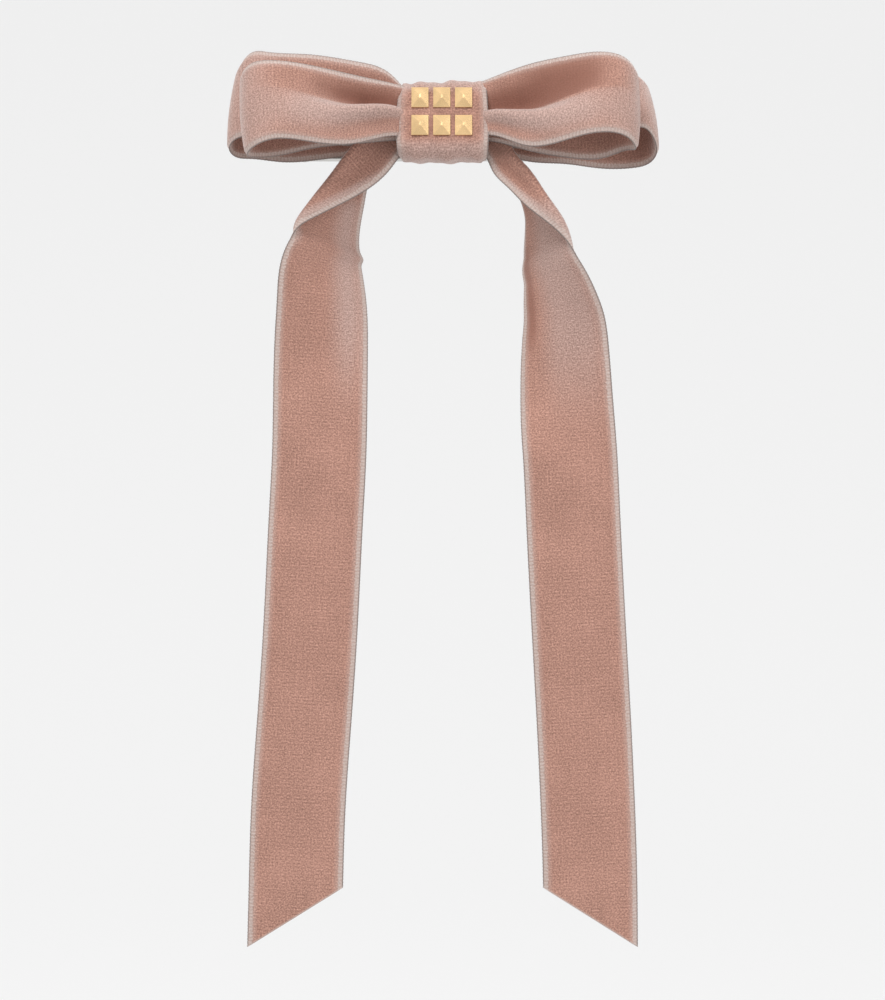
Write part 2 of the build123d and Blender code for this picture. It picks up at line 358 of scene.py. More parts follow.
def surface_place(board):
    """Place across the ribbon from its middle, and along it, in millimetres, from its map."""
    uv = board.wire("ShaderNodeUVMap", {"uv_map": "UVMap"})
    split = board.add("ShaderNodeSeparateXYZ", None, {0: uv})
    across = (Wire(board, split.outputs[0]) - 0.5) * (2 * RIBBON_HALF)
    along = Wire(board, split.outputs[1]) * (2 * RIBBON_HALF)
    return across, along


def velvet_material(name, pile, crush=0.3, crush_size=9.0, shade=1.0):
    """Ribbon velvet: weft rows and pile grain over the map, softly crushed patches, and woven selvedges
    with a stitch to each weft; the pile's own sheen is set on the shader. Painted shade, painted highlight
    and painted sheen are mixed into the colour as well, and a painted dark line runs along the outermost
    edge."""
    board = Board(name)
    settings = bpy.context.scene.velvet_bow_ribbon
    across, along = surface_place(board)
    spot = board.spot(across, along)
    grain = board.rise(board.noise(spot, 2.3, 3.0, 0.65), 0.3, 0.7)
    wander = board.noise(board.spot(across * 0.35, along), 0.9, 1.0)
    turns = along * (2 * math.pi / WEFT_PITCH) + wander * 5.0
    rows = board.maths("SINE", turns) * 0.5 + 0.5
    warp = board.noise(board.spot(across * 1.6, along * 0.05), 1.0, 1.0)
    crush_and_painted_light = board.noise(spot, 1 / crush_size, 3.0, 0.55)
    side = abs(across)
    selvedge = board.rise(side + (grain - 0.5) * 0.35, SELVEDGE - 0.1, SELVEDGE + 0.4)
    rim = board.rise(side, 12.0, 12.4)
    near = board.rise(side, 9.6, SELVEDGE + 0.1)
    cut = board.wire("ShaderNodeAttribute", {"attribute_name": "from_cut"}, None, 2)
    sealed = 1 - board.rise(cut, 0.15, 0.7)
    tone = grain * 0.44 + rows * 0.08 + warp * 0.10 + (crush_and_painted_light - 0.5) * crush + 0.19
    pile_colour = board.wire("ShaderNodeValToRGB", None, {0: tone}, 0, [
        (0.25, [c * 0.62 * shade for c in pile]), (0.5, [c * shade for c in pile]),
        (0.75, [min(1, c * 1.42 + 0.02) * shade for c in pile])])
    # Painted light from the per-point attribute: below zero the pile takes a darker, redder copy as painted
    # shade in creases, and above zero the pile tips' colour as painted highlight.
    painted_light = board.wire("ShaderNodeAttribute", {"attribute_name": "crush_and_painted_light"}, None, 2)
    painted_light = painted_light * (0.8 + grain * 0.4)
    deep = [c * share * shade for c, share in zip(pile, (0.62, 0.49, 0.45))]
    lit_and_shaded_pile = board.blend(board.rise(0 - painted_light, 0.0, 1.1) * 0.85, pile_colour, deep)
    # Painted sheen: the facing weight lightens the colour where the surface turns from the view.
    turned = board.wire("ShaderNodeLayerWeight", None, {"Blend": 0.5}, 1)
    painted_highlight_and_sheen = board.rise(painted_light, 0.0, 1.2) * 0.8 + board.rise(turned, 0.3, 1.0) * 0.5
    painted_highlight_and_sheen = board.maths("MINIMUM", painted_highlight_and_sheen, 0.92)
    # The colour used for the painted highlight and the painted sheen.
    tips = board.blend(grain, [c * 0.66 for c in settings.painted_sheen_colour],
                       [c * 1.34 for c in settings.painted_sheen_colour])
    lit_and_shaded_pile = board.blend(painted_highlight_and_sheen, lit_and_shaded_pile, tips)
    lifted = board.blend(near * 0.25, lit_and_shaded_pile, settings.selvedge_colour)
    teeth = board.maths("SINE", along * (2 * math.pi / WEFT_PITCH) + wander * 0.8) * 0.5 + 0.5
    stitch = board.rise(teeth * 0.4 + grain * 0.6, 0.15, 0.85)
    dull = [c * 0.56 + d * 0.34 for c, d in zip(settings.selvedge_colour, pile)]
    thread = board.blend(stitch, dull, settings.selvedge_colour)
    # The outermost half millimetre is painted darker: a painted shade line along the edge.
    thread = board.blend(rim * 0.9, thread, [c * 0.38 for c in settings.selvedge_colour])
    colour = board.blend(selvedge, lifted, thread)
    colour = board.blend(sealed * 0.6, colour, settings.selvedge_colour)
    height = (grain * 0.5 + rows * 0.1) * (1 - selvedge) + stitch * 0.45 * selvedge
    normal = board.bump(height, 0.0002, settings.pile_relief)
    return board.finish(Base_Color=colour, Roughness=0.95 - selvedge * 0.2, Normal=normal,
                        Specular_IOR_Level=0.12, Sheen_Weight=settings.sheen, Sheen_Roughness=0.36,
                        Sheen_Tint=(*settings.sheen_colour, 1))


def gold_material(name, colour, roughness):
    """Polished gilt: soft polishing swirls and tiny pits in roughness and bump."""
    board = Board(name)
    place = board.wire("ShaderNodeTexCoord", None, None, 3)
    swirl = board.noise(place, 900.0, 3.0, 0.6)
    cloud = board.noise(place, 180.0, 2.0)
    tone = board.blend(board.rise(cloud, 0.3, 0.75), [c * 0.82 for c in colour], colour)
    normal = board.bump(swirl, 0.00004, 0.35)
    return board.finish(Base_Color=tone, Metallic=1.0, Normal=normal,
                        Roughness=roughness + (swirl - 0.5) * 0.16 + (cloud - 0.5) * 0.08)


def steel_material(name, colour):
    """Plated spring steel: fine lines along x from drawing, and faint clouds in colour and roughness."""
    board = Board(name)
    place = board.wire("ShaderNodeTexCoord", None, None, 3)
    stretched = board.wire("ShaderNodeMapping", None, {"Vector": place, "Scale": (60, 2600, 2600)})
    lines = board.noise(stretched, 1.0, 3.0, 0.6)
    cloud = board.noise(place, 140.0, 3.0)
    tone = board.blend(board.rise(cloud, 0.25, 0.8), [c * 0.92 for c in colour], colour)
    normal = board.bump(lines, 0.00003, 0.4)
    return board.finish(Base_Color=tone, Metallic=1.0, Normal=normal,
                        Roughness=0.26 + (lines - 0.5) * 0.2 + (cloud - 0.5) * 0.06)


def felt_material(name, colour):
    """Pressed felt: a mat of fibres at two scales, lighter where they stand up."""
    board = Board(name)
    place = board.wire("ShaderNodeTexCoord", None, None, 3)
    mat = board.noise(place, 1500.0, 4.0, 0.7)
    tuft = board.noise(place, 320.0, 2.0)
    tone = board.blend(board.rise(mat * 0.6 + tuft * 0.4, 0.3, 0.75), [c * 0.6 for c in colour], colour)
    return board.finish(Base_Color=tone, Roughness=0.95, Normal=board.bump(mat, 0.0002, 0.7),
                        Sheen_Weight=0.35, Sheen_Roughness=0.5, Specular_IOR_Level=0.15)


def thread_material(name, colour):
    """Twisted sewing thread: slanted plies from a wave across the strand, with a little fuzz."""
    board = Board(name)
    place = board.wire("ShaderNodeTexCoord", None, None, 3)
    plies = board.wire("ShaderNodeTexWave", {"bands_direction": "DIAGONAL"},
                       {"Vector": place, "Scale": 900.0, "Distortion": 1.0}, 1)
    fuzz = board.noise(place, 2500.0, 2.0)
    tone = board.blend(plies * 0.7 + fuzz * 0.3, [c * 0.6 for c in colour], colour)
    return board.finish(Base_Color=tone, Roughness=0.7, Normal=board.bump(plies, 0.00008, 0.6),
                        Specular_IOR_Level=0.3)


def floor_material(name, colour):
    """Pale paint with a barely seen mottle; much of its brightness is its own, to keep it even."""
    board = Board(name)
    place = board.wire("ShaderNodeTexCoord", None, None, 3)
    mottle = board.noise(place, 3.0, 2.0)
    tone = board.blend(mottle, [c * 0.99 for c in colour], colour)
    return board.finish(Base_Color=tone, Roughness=0.9, Specular_IOR_Level=0.1,
                        Emission_Color=(1, 1, 1, 1), Emission_Strength=0.53)


# ---------------------------------------------------------------- settings

class VelvetBowRibbonSettings(bpy.types.PropertyGroup):
    """Colours and pile of the ribbon."""

    pile_colour: bpy.props.FloatVectorProperty(
        name="Pile", description="Colour of the velvet pile", subtype="COLOR", size=3,
        default=tint(165, 125, 111), min=0, max=1)
    # Colour painted on the pile as painted sheen and painted highlight.
    painted_sheen_colour: bpy.props.FloatVectorProperty(
        name="Pile tips", description="Colour of pile that is brushed up or seen from the side",
        subtype="COLOR", size=3, default=tint(176, 151, 143), min=0, max=1)
    selvedge_colour: bpy.props.FloatVectorProperty(
        name="Selvedge", description="Colour of the woven edges", subtype="COLOR", size=3,
        default=tint(192, 176, 169), min=0, max=1)
    sheen_colour: bpy.props.FloatVectorProperty(
        name="Sheen", description="Colour of the light that the pile tips scatter", subtype="COLOR", size=3,
        default=(0.95, 0.85, 0.82), min=0, max=1)
    sheen: bpy.props.FloatProperty(
        name="Sheen weight", description="How strongly the pile tips scatter light",
        subtype="FACTOR", default=0.7, min=0, max=1)
    pile_relief: bpy.props.FloatProperty(
        name="Pile relief", description="Strength of the rows and grain in the pile",
        subtype="FACTOR", default=0.8, min=0, max=1)


class VelvetBowShapeSettings(bpy.types.PropertyGroup):
    """Folds of the bow, ripples of its knot and the pitch of its mesh rows."""

    gather_depth: bpy.props.FloatProperty(
        name="Gather depth", description="Depth of the pleat beside the knot",
        unit="LENGTH", subtype="DISTANCE", default=0.0048, min=0, max=0.008)
    knot_ripple: bpy.props.FloatProperty(
        name="Knot ripple", description="Height of the ripples in the knot's wrap",
        unit="LENGTH", subtype="DISTANCE", default=0.00018, min=0, max=0.001)
    row_pitch: bpy.props.FloatProperty(
        name="Row pitch", description="Length between the mesh rows of a ribbon",
        unit="LENGTH", subtype="DISTANCE", default=0.00035, min=0.0002, max=0.002)


class VelvetBowMetalSettings(bpy.types.PropertyGroup):
    """Colours of the metal, felt and thread."""

    gold_colour: bpy.props.FloatVectorProperty(
        name="Gilt", description="Colour of the studs", subtype="COLOR", size=3,
        default=tint(252, 214, 160), min=0, max=1)
    steel_colour: bpy.props.FloatVectorProperty(
        name="Steel", description="Colour of the clip's plated spring steel", subtype="COLOR", size=3,
        default=tint(205, 203, 200), min=0, max=1)
    felt_colour: bpy.props.FloatVectorProperty(
        name="Felt", description="Colour of the pad under the knot", subtype="COLOR", size=3,
        default=tint(150, 104, 92), min=0, max=1)
    thread_colour: bpy.props.FloatVectorProperty(
        name="Thread", description="Colour of the sewing thread", subtype="COLOR", size=3,
        default=tint(182, 138, 124), min=0, max=1)


class VelvetBowStageSettings(bpy.types.PropertyGroup):
    """Floor, lights and camera."""

    floor_colour: bpy.props.FloatVectorProperty(
        name="Floor", description="Colour of the floor and the wall behind", subtype="COLOR", size=3,
        default=(0.36, 0.36, 0.36), min=0, max=1)
    camera_distance: bpy.props.FloatProperty(
        name="Camera distance", description="From the camera to the knot's face",
        unit="LENGTH", subtype="DISTANCE", default=0.70, min=0.2, max=3)
    lens: bpy.props.FloatProperty(
        name="Lens", description="Focal length in millimetres", default=95.7, min=20, max=200)
    key_power: bpy.props.FloatProperty(
        name="Key light", description="Power of the large light above and to the left", unit="POWER",
        default=8.5, min=0, max=200)
    surround: bpy.props.FloatProperty(
        name="Surround", description="Brightness of the even light from all sides",
        default=0.62, min=0, max=3)


# ---------------------------------------------------------------- ribbon shapes

# Stations go round the loop from the middle of the front to the left: x, y, lower edge, upper edge, lean.
FRONT_LOOPS = [
    (0, -19.7, -4.0, 10.3, 0), (-8, -19.9, -4.0, 10.2, 0), (-13, -22.0, -4.4, 10.6, 0),
    (-22, -26.6, -8.2, 11.0, 0), (-34, -31.6, -9.9, 11.7, 0), (-44, -32.6, -9.5, 12.6, 0),
    (-49.4, -30.5, -10.6, 12.5, 0), (-51.8, -26, -11.2, 11.2, 0), (-50.5, -21.5, -10.2, 11.0, 0),
    (-44, -18.8, -8.8, 11.5, 0), (-34, -17.9, -6.2, 11.5, 0), (-22, -17.6, -4.8, 11.0, 0),
    (-13, -17.7, -4.0, 10.4, 0), (-6, -17.6, -4.0, 10.3, 0), (6, -17.6, -4.0, 10.6, 0),
    (13, -17.7, -4.2, 11.4, 0), (22, -17.6, -6.6, 12.8, 0), (34, -17.9, -9.0, 13.8, 0),
    (43, -18.8, -9.2, 14.0, 0), (48.8, -21.5, -8.2, 13.0, 0), (50.6, -26, -9.6, 11.8, 0),
    (48.4, -30.5, -8.4, 13.6, 0), (43, -32.6, -7.6, 14.9, 0), (34, -31.6, -8.8, 14.6, 0),
    (22, -26.6, -9.0, 13.9, 0), (13, -22.0, -4.2, 12.2, 0), (8, -19.9, -3.6, 11.2, 0)]

REAR_LOOPS = [
    (0, -13.2, -2.6, 10.2, 0), (-8, -13.2, -2.8, 10.6, 0), (-13, -13.7, -3.4, 15.9, 0),
    (-22, -14.2, -4.2, 20.0, 0), (-36, -14.3, -2.8, 22.2, 0), (-48, -13.8, -1.4, 23.1, 0),
    (-54, -11.7, -1.2, 22.4, 0), (-56.2, -8.4, -2.6, 18.6, 0), (-54.4, -4.6, -3.6, 19.6, 0),
    (-50.5, -3.0, -3.4, 20.0, 0), (-44, -2.9, -4.2, 20.2, 0), (-33, -7.0, -5.2, 19.4, 0),
    (-22, -9.8, -4.8, 17.4, 0), (-13, -11.5, -3.6, 13.6, 0), (-7, -12.0, -2.6, 10.2, 0),
    (7, -12.0, -2.6, 10.2, 0), (13, -11.5, -4.2, 13.6, 0), (22, -9.8, -6.6, 16.6, 0),
    (33, -7.0, -6.4, 17.6, 0), (44, -2.9, -6.2, 18.0, 0), (50.5, -3.0, -6.4, 17.4, 0.10),
    (54.4, -4.6, -6.0, 16.6, 0.18), (56.2, -8.4, -3.6, 15.8, 0.24), (54, -11.7, 0.2, 17.6, 0.26),
    (48, -13.8, -0.4, 18.8, 0.2), (36, -14.3, -3.4, 18.4, 0.08), (22, -14.2, -4.8, 17.4, 0),
    (13, -13.7, -3.8, 14.6, 0), (8, -13.2, -2.8, 10.6, 0)]


def loop_surface(stations, across, pitch, depth, crease, skew):
    """Middle surface of a double loop. The plan is a closed round; each row stands on it from the lower
    to the upper edge. A pleat is added along the outward normal: a valley whose upper side is wide and
    whose lower side is narrow, and a ridge just under it, deepest beside the knot and gone by the tips."""
    rows, run = closed_rows(stations, 2, pitch)
    x, y, low, high, lean = rows.T
    ahead = unit(np.roll(rows[:, :2], -1, 0) - np.roll(rows[:, :2], 1, 0))
    outward = np.stack([-ahead[:, 1], ahead[:, 0]], 1)
    share = (across + RIBBON_HALF) / (2 * RIBBON_HALF)
    reach = np.abs(x)
    face = ease(-outward[:, 1], -0.2, 0.5)
    swell = np.interp(reach, [0, 9, 12, 15, 19, 26, 34, 45, 60],
                      [0.1, 0.16, 0.42, 0.74, 1.0, 0.82, 0.42, 0.06, 0])
    swell = depth * swell * (0.25 + 0.75 * face)
    middle = np.interp(x, [-50, -14, 14, 50], [crease[0] + 0.16, crease[0], crease[1], crease[1] + 0.2])
    soft = np.interp(reach, [0, 15, 22, 32, 50], [0.02, 0.02, 0.05, 0.13, 0.25])
    t = share[None, :] - middle[:, None]
    above = np.where(t > 0, 0.30 + 0.1 * soft[:, None], soft[:, None])
    valley = -np.exp(-(t / above) ** 2)
    ridge = 0.6 * np.exp(-((t + 0.07 + soft[:, None]) / (0.08 + soft[:, None])) ** 2)
    fold = swell[:, None] * (valley + ridge)
    crown = 0.7 * ease(reach, 14, 40)[:, None] * (1 - (2 * share[None, :] - 1) ** 2)
    out = fold + crown
    z = low[:, None] + (high - low)[:, None] * share[None, :]
    level = z - (low + high)[:, None] / 2
    slant = np.where(x < 0, skew[0], skew[1]) * ease(reach, 38, 53)
    points = np.stack([x[:, None] + outward[:, :1] * out + slant[:, None] * level,
                       y[:, None] + outward[:, 1:] * out + lean[:, None] * level, z], 2)
    lengths = np.repeat(run[:, None], len(across), 1)
    # Painted light for the loops: front walls and loop tips painted lighter as painted sheen, a painted
    # highlight along the ridge and painted shade in the valley above it, strongest beside the knot.
    knot_zone = np.interp(reach, [0, 9, 13, 26, 38, 50], [0, 0.3, 1, 0.95, 0.6, 0]) * face
    wide = np.interp(x, [-50, -13, 13, 30, 44], [0.22, 0.26, 0.3, 0.42, 0.3])[:, None]
    dark = np.where(t > 0, np.exp(-(np.maximum(t - 0.12, 0) / wide) ** 2), np.exp(-(t / 0.03) ** 2))
    dark = dark * np.interp(x, [-40, -20, 20, 40], [0.5, 1.0, 1.1, 1.6])[:, None]
    light = np.exp(-((t + 0.08 + soft[:, None]) / (0.07 + soft[:, None])) ** 2)
    crush_and_painted_light = 0.2 * face[:, None] + 0.5 * (ease(reach, 40, 51) * face)[:, None]
    crush_and_painted_light = crush_and_painted_light + knot_zone[:, None] * (1.3 * light - 1.25 * dark)
    return leaned(points), lengths, crush_and_painted_light


# Leading selvedge of each tail from inside the knot to the tip: x, y, z.
LEFT_LEAD = [
    (-0.6, -16.6, 3.0), (-5, -17.0, -0.5), (-11.4, -18.5, -7.0), (-14.1, -19.6, -10.7), (-17.2, -20.6, -13.9),
    (-23, -22.0, -17.9), (-28.3, -23.4, -20.8), (-33.6, -24.8, -23.6), (-37.8, -25.8, -26.4),
    (-40.0, -26.2, -29.4), (-42.0, -25.9, -33.8), (-43.6, -23.5, -44.9), (-44.2, -21.5, -52.8),
    (-44.8, -19.8, -68.7), (-45.1, -19.4, -84.6), (-45.9, -19.4, -100.4), (-47.5, -19.4, -132.2),
    (-49.1, -19.4, -156), (-50.7, -19.4, -179.9), (-51.2, -19.4, -195.7), (-51.7, -19.4, -216.1)]
RIGHT_LEAD = [
    (0.6, -16.6, 3.0), (5, -17.0, -0.5), (11.8, -18.5, -7.6), (13.5, -19.6, -11.3), (17.0, -20.8, -15.1),
    (21.8, -22.6, -20.2), (27.9, -24.2, -25.2), (32.3, -25.3, -29.6), (35.3, -25.9, -33.9),
    (37.9, -25.9, -38.2), (40.5, -25, -43.5), (42.5, -23.5, -48.8), (43.8, -21.8, -56.4),
    (44.9, -20.2, -68.7), (46.2, -19.4, -84.6), (47, -19.4, -100.4), (48.6, -19.4, -132.2),
    (49.9, -19.4, -156), (51, -19.4, -179.9), (51.5, -19.4, -195.7), (51.7, -19.4, -216.1)]
# The rise of the slanted cut from tip to trailing selvedge, the length over which the rows are drawn out
# to it, and the steps in which a row is summed.
CUT_RISE = 16.9
CUT_DRAW = 60.0
ROW_STEPS = 500

# How a tail turns over, by height z: slope of its rows in degrees, distance from the leading selvedge to
# the fold's outside, the fold's radius, how far round it has turned in degrees, the share of its width
# that the turned part keeps where it is gathered, and the dip of the part before the fold in degrees.
LEFT_TURN = [
    (3, 50, 6, 0.8, 180, 0.60, 0), (-6.5, 50, 11.4, 0.8, 180, 0.60, 8), (-10.7, 48, 12.0, 0.9, 178, 0.62, 18),
    (-13.9, 45, 11.8, 0.9, 172, 0.66, 26), (-17.9, 38, 8.4, 1.0, 162, 0.76, 22),
    (-20.8, 33, 5.6, 1.2, 154, 0.84, 10), (-23.6, 27, 2.9, 1.4, 147, 0.93, 0),
    (-26.4, 20, 0.2, 1.6, 146, 0.99, 0), (-29.4, 14, -2.4, 1.9, 138, 1, 0),
    (-34, 8, -5.6, 2.2, 147, 1, 0), (-39.6, 5, -8, 2.3, 155, 1, 0), (-45, 3, -9, 2.4, 160, 1, 0),
    (-53, 2.6, -9, 2.4, 168, 1, 0), (-69, 2.6, -9, 2.4, 178, 1, 0), (-84, 2.6, -9, 2.4, 180, 1, 0),
    (-217, 2.6, -9, 2.4, 180, 1, 0)]
RIGHT_TURN = [
    (3, 50, 6, 0.8, 180, 0.55, 0), (-7.5, 50, 8.0, 0.8, 176, 0.36, 24), (-11.3, 48, 8.4, 0.85, 165, 0.40, 40),
    (-15.1, 45, 8.0, 0.9, 142, 0.40, 46), (-20.2, 36, 5.6, 1.1, 121, 0.58, 26),
    (-25.2, 28, 3.0, 1.3, 125, 0.95, 6), (-28, 22, 1.4, 1.5, 124, 0.98, 0), (-31, 18, -0.6, 1.7, 123, 1, 0),
    (-35, 13, -3.4, 2.0, 125, 1, 0), (-39.6, 9, -7, 2.3, 133, 1, 0), (-44.9, 6, -9, 2.4, 141, 1, 0),
    (-52.8, 4, -9, 2.4, 152, 1, 0), (-60.7, 3, -9, 2.4, 159, 1, 0), (-68.7, 2.6, -9, 2.4, 165, 1, 0),
    (-84.6, 2.6, -9, 2.4, 180, 1, 0), (-217, 2.6, -9, 2.4, 180, 1, 0)]


def turn_at(table, z):
    """The turn's numbers at each height: straight lines between the table's heights, averaged over
    five millimetres so that no kink shows."""
    table = np.asarray(table, float)[::-1]
    window = np.linspace(-2.5, 2.5, 11)
    spread = z[:, None] + window[None, :]
    return [np.interp(spread, table[:, 0], table[:, i]).mean(1) for i in range(1, 7)]


def tail_surface(lead, turn, side, across, pitch):
    """Middle surface of a tail. From each point of the leading selvedge the row runs across at its slope,
    and where the fold lies it bends round the fold's radius through the turn's angle, behind itself.
    The place is the selvedge plus the running sum of the row's direction. Rows near the tip are drawn
    out so that the tip is the slanted cut."""
    rows, run = even_rows(lead, 3, pitch)
    slope, outside, radius, turned, kept, dip = turn_at(turn, rows[:, 2])
    slope, turned, dip = np.radians(slope), np.radians(turned), np.radians(dip)
    fine = np.linspace(0, 2 * RIBBON_HALF, ROW_STEPS + 1)
    begin = outside - radius
    bent = ease((fine[None, :] - begin[:, None]) / (np.pi * radius)[:, None], 0, 1)
    before = np.clip(fine[None, :] / np.maximum(begin, 1.0)[:, None], 0, 1)
    channel = dip[:, None] * np.cos(np.pi * before)
    heading = turned[:, None] * bent + channel * (1 - bent)
    step = fine[1]
    stride = step * (1 - (1 - kept)[:, None] * bent)
    out = np.cumsum(np.cos(heading) * stride, 1)
    rear = np.cumsum(np.sin(heading) * stride, 1)
    out -= out[:, :1]
    rear -= rear[:, :1]
    place = across + RIBBON_HALF
    index = np.clip(np.round(place / step).astype(int), 0, ROW_STEPS)
    out, rear = out[:, index], rear[:, index]
    tilt = WAIST_LEAN * ease(rows[:, 2], -22, -6)
    zero = np.zeros(len(rows))
    row_way = np.stack([side * np.cos(slope), np.sin(slope) * np.sin(tilt), np.sin(slope) * np.cos(tilt)], 1)
    rear_way = np.stack([zero, np.cos(tilt), -np.sin(tilt)], 1)
    total = run[-1]
    shorter = CUT_RISE * place / (2 * RIBBON_HALF)
    late = np.clip((run - (total - CUT_DRAW)) / CUT_DRAW, 0, 1)
    where = run[:, None] - shorter[None, :] * (late ** 1.6)[:, None]
    base = np.stack([np.interp(where, run, rows[:, i]) for i in range(3)], 2)
    points = base + out[:, :, None] * row_way[:, None] + rear[:, :, None] * rear_way[:, None]
    sealed = (total - shorter)[None, :] - where
    high = points[..., 2]
    across_place = np.broadcast_to(place[None, :], high.shape)
    # Painted light for the tails: painted sheen on the parts turned away, a painted highlight beside the
    # leading selvedge where it rolls over, and painted shade in the valleys and along a dark edge band.
    rolled = patch(high, -30, -12, 3)
    if side < 0:
        crush_and_painted_light = 1.1 * ease(high, -86, -44) * ease(-high, 14, 22) * patch(across_place, 16, 23.5, 5)
        crush_and_painted_light += 1.0 * rolled * patch(across_place, 1, 3.6, 1.4)
        crush_and_painted_light -= 0.35 * patch(high, -17, -7, 3) * patch(across_place, 4, 7, 2.5)
    else:
        crush_and_painted_light = 0.85 * ease(high, -90, -48) * ease(-high, 14, 22) * patch(across_place, 1, 18, 5)
        crush_and_painted_light -= 0.75 * patch(high, -58, -30, 6) * patch(across_place, 20, 24, 1.5)
        crush_and_painted_light += 0.9 * patch(high, -32, -8, 3) * patch(across_place, 0, 2.6, 1.2)
        crush_and_painted_light -= 0.45 * patch(high, -18, -6, 2.5) * patch(across_place, 3, 6, 2)
    return points, where, sealed, crush_and_painted_light


def knot_surface(across, pitch, ripple):
    """Middle surface of the knot's wrap: a rounded oblong round in y and z, carried along x, with soft
    ripples over the top and bottom turns, its left selvedge rolled under and its right one flat."""
    stations = [
        (-22.05, 0), (-22.0, 5), (-21.4, 8.4), (-19.6, 10.8), (-15.8, 11.8), (-11.4, 11.2), (-8, 9.4),
        (-6.75, 6), (-6.65, 1), (-6.9, -3), (-8.4, -5.6), (-11.4, -6.9), (-15, -8.0), (-18.8, -8.7),
        (-21.3, -7.3), (-22.0, -4.2)]
    rows, run = closed_rows(stations, 2, pitch)
    ahead = unit(np.roll(rows, -1, 0) - np.roll(rows, 1, 0))
    outward = np.stack([-ahead[:, 1], ahead[:, 0]], 1)
    turns = run[:-1, None] / run[-1] * 2 * np.pi
    x = across[None, :] * 0.955
    top = ease(rows[:, 1], 5, 11)[:, None]
    crown = top + ease(-rows[:, 1], 3.5, 8)[:, None]
    wave = np.sin(x * 0.8 + 1.3 * np.sin(turns * 3)) + 0.6 * np.sin(x * 1.5 + 2.0 + turns * 2)
    swell = ripple * (0.2 + 1.2 * crown) * wave * (1 - ease(np.abs(across), 10.6, 12.4))[None, :]
    rising = 0.45 * top * ease(x, -4, 6)
    pucker = 0.12 * np.sin(turns * 9 + x * 0.5) * (0.2 + crown) * ease(np.abs(across), 3, 10)[None, :]
    rolled = -0.95 * ease(-across, 10.6, 12.5)[None, :]
    bulge = 0.35 * (1 - (x / 12) ** 2)
    out = swell + rising + pucker + rolled + bulge - 0.15
    waist = 0.3 * np.cos(turns * 2 + 0.4) * (ease(np.abs(across), 6, 12.5) * np.sign(across))[None, :]
    y = rows[:, :1] + outward[:, :1] * out
    z = rows[:, 1:] + outward[:, 1:] * out
    points = np.stack([x + waist + 0 * y, y, z], 2)
    lengths = np.repeat(run[:, None], len(across), 1)
    # Painted light for the knot: its top and bottom turns painted lighter as painted sheen, and its face
    # between the studs painted a little darker as painted shade.
    crush_and_painted_light = 0.95 * crown + 0 * x - 0.2 * (1 - np.clip(crown, 0, 1)) * patch(x, -9, 9, 2)
    return leaned(points), lengths, crush_and_painted_light


def felt_skin(name, span, height, thick, apex_y):
    """A felt strip that follows the arch of the base plate: a superellipse section carried along a circle's
    arc of PLATE_RADIUS, a little thinner where the knot presses it, its two cut ends closed flat."""
    steps, sides = 80, 40
    along = np.linspace(-span, span, steps + 1)
    angle = np.linspace(0, 2 * np.pi, sides, endpoint=False)
    wide = np.sign(np.cos(angle)) * np.abs(np.cos(angle)) ** 0.25
    deep = np.sign(np.sin(angle)) * np.abs(np.sin(angle)) ** 0.5
    soft = 1 - 0.12 * (np.abs(along) > span - 0.2)
    knot_zone = 1 - 0.16 * patch(along, -12, 12, 2)
    y = (apex_y + along ** 2 / (2 * PLATE_RADIUS))[:, None] + thick / 2 * (knot_zone * soft)[:, None] * deep
    z = height / 2 * soft[:, None] * wide
    points = leaned(np.stack([np.repeat(along[:, None], sides, 1), y, z + WAIST_DROP], 2))
    ring, k = np.meshgrid(np.arange(steps) * sides, np.arange(sides), indexing="ij")
    ring, k = ring.ravel(), k.ravel()
    other = (k + 1) % sides
    quads = np.stack([ring + k, ring + sides + k, ring + sides + other, ring + other], 1).tolist()
    last = steps * sides
    ends = [list(range(sides)), list(range(last + sides - 1, last - 1, -1))]
    mesh = bpy.data.meshes.new(name)
    mesh.from_pydata((points.reshape(-1, 3) * MM).tolist(), [], quads + ends)
    return piece_of(name, mesh)


# ---------------------------------------------------------------- operators

def ribbon_settings():
    return bpy.context.scene.velvet_bow_ribbon


def shape_settings():
    return bpy.context.scene.velvet_bow_shape


def metal_settings():
    return bpy.context.scene.velvet_bow_metal


def coat(piece, material):
    """The piece wears this one material."""
    piece.data.materials.clear()
    piece.data.materials.append(material)


def recoat(node, material):
    """A CAD node's own slots get this material."""
    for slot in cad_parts[node].material_slots:
        slot.material = material


class VELVETBOW_OT_loops(bpy.types.Operator):
    """Make the front and the rear double loop, each one closed band of ribbon gathered at the knot"""

    bl_idname = "velvet_bow.loops"
    bl_label = "Bow Loops"

    def execute(self, context):
        across, half = ribbon_section(0.8)
        pitch = shape_settings().row_pitch / MM
        depth = shape_settings().gather_depth / MM
        pile = velvet_material("loop velvet", ribbon_settings().pile_colour)
        for name, stations, deep, crease, skew in (
                ("front_bow_ribbon", FRONT_LOOPS, depth, (0.54, 0.42), (-0.08, 0.02)),
                ("rear_bow_ribbon", REAR_LOOPS, depth * 0.3, (0.5, 0.5), (0.09, -0.11))):
            surface, along, crush_and_painted_light = loop_surface(stations, across, pitch, deep, crease, skew)
            piece = ribbon_skin(name + "_velvet", surface, across, half, along, True, crush_and_painted_light)
            coat(piece, pile)
            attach(piece, "bow")
            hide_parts(name)
        return {"FINISHED"}


